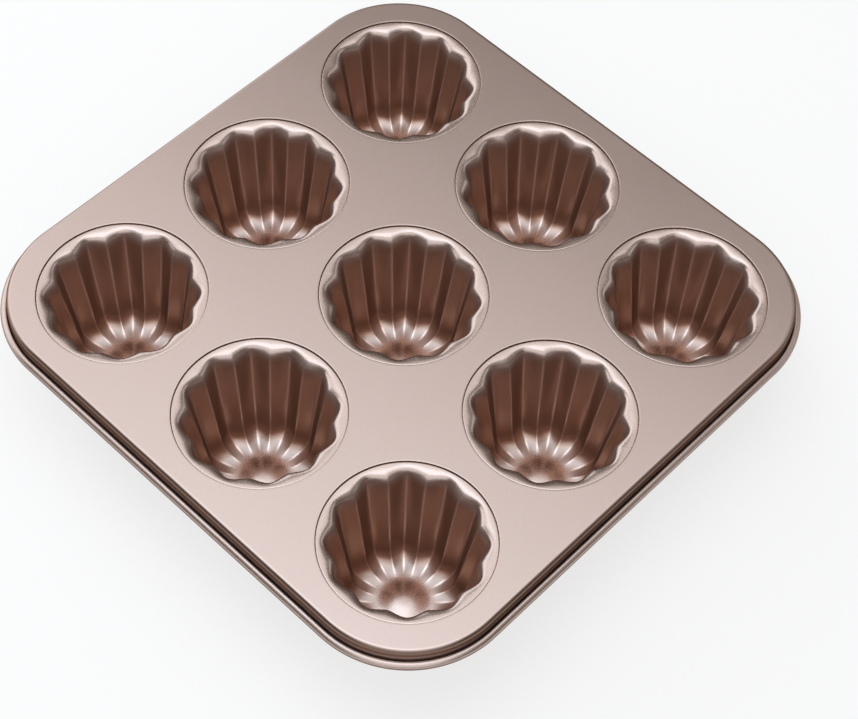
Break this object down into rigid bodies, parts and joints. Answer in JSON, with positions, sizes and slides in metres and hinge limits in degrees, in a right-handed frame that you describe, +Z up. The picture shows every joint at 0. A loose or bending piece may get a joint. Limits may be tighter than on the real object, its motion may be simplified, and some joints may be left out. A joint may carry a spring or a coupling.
{
  "type": "canele pan",
  "caption": "Square baking pan with rounded corners, a wired rolled edge and deep fluted round cups set in a flat plate, for baking small fluted cakes.",
  "frame": {"origin": "middle of the pan on the plane of the cup floors, where it stands", "axes": "+Z up out of the cups, X and Y along the pan's sides"},
  "size_m": [0.2246, 0.2246, 0.0452],
  "materials": {
    "coated_sheet": "satin champagne non-stick coating with a fine metallic grain",
    "wire": "drawn steel wire"
  },
  "bodies": {
    "root": {"pan_plate": "coated_sheet", "rim_wire": "wire", "cup_r1c1": "coated_sheet", "cup_r1c2": "coated_sheet", "cup_r1c3": "coated_sheet", "cup_r2c1": "coated_sheet", "cup_r2c2": "coated_sheet", "cup_r2c3": "coated_sheet", "cup_r3c1": "coated_sheet", "cup_r3c2": "coated_sheet", "cup_r3c3": "coated_sheet"}
  },
  "joints": []
}
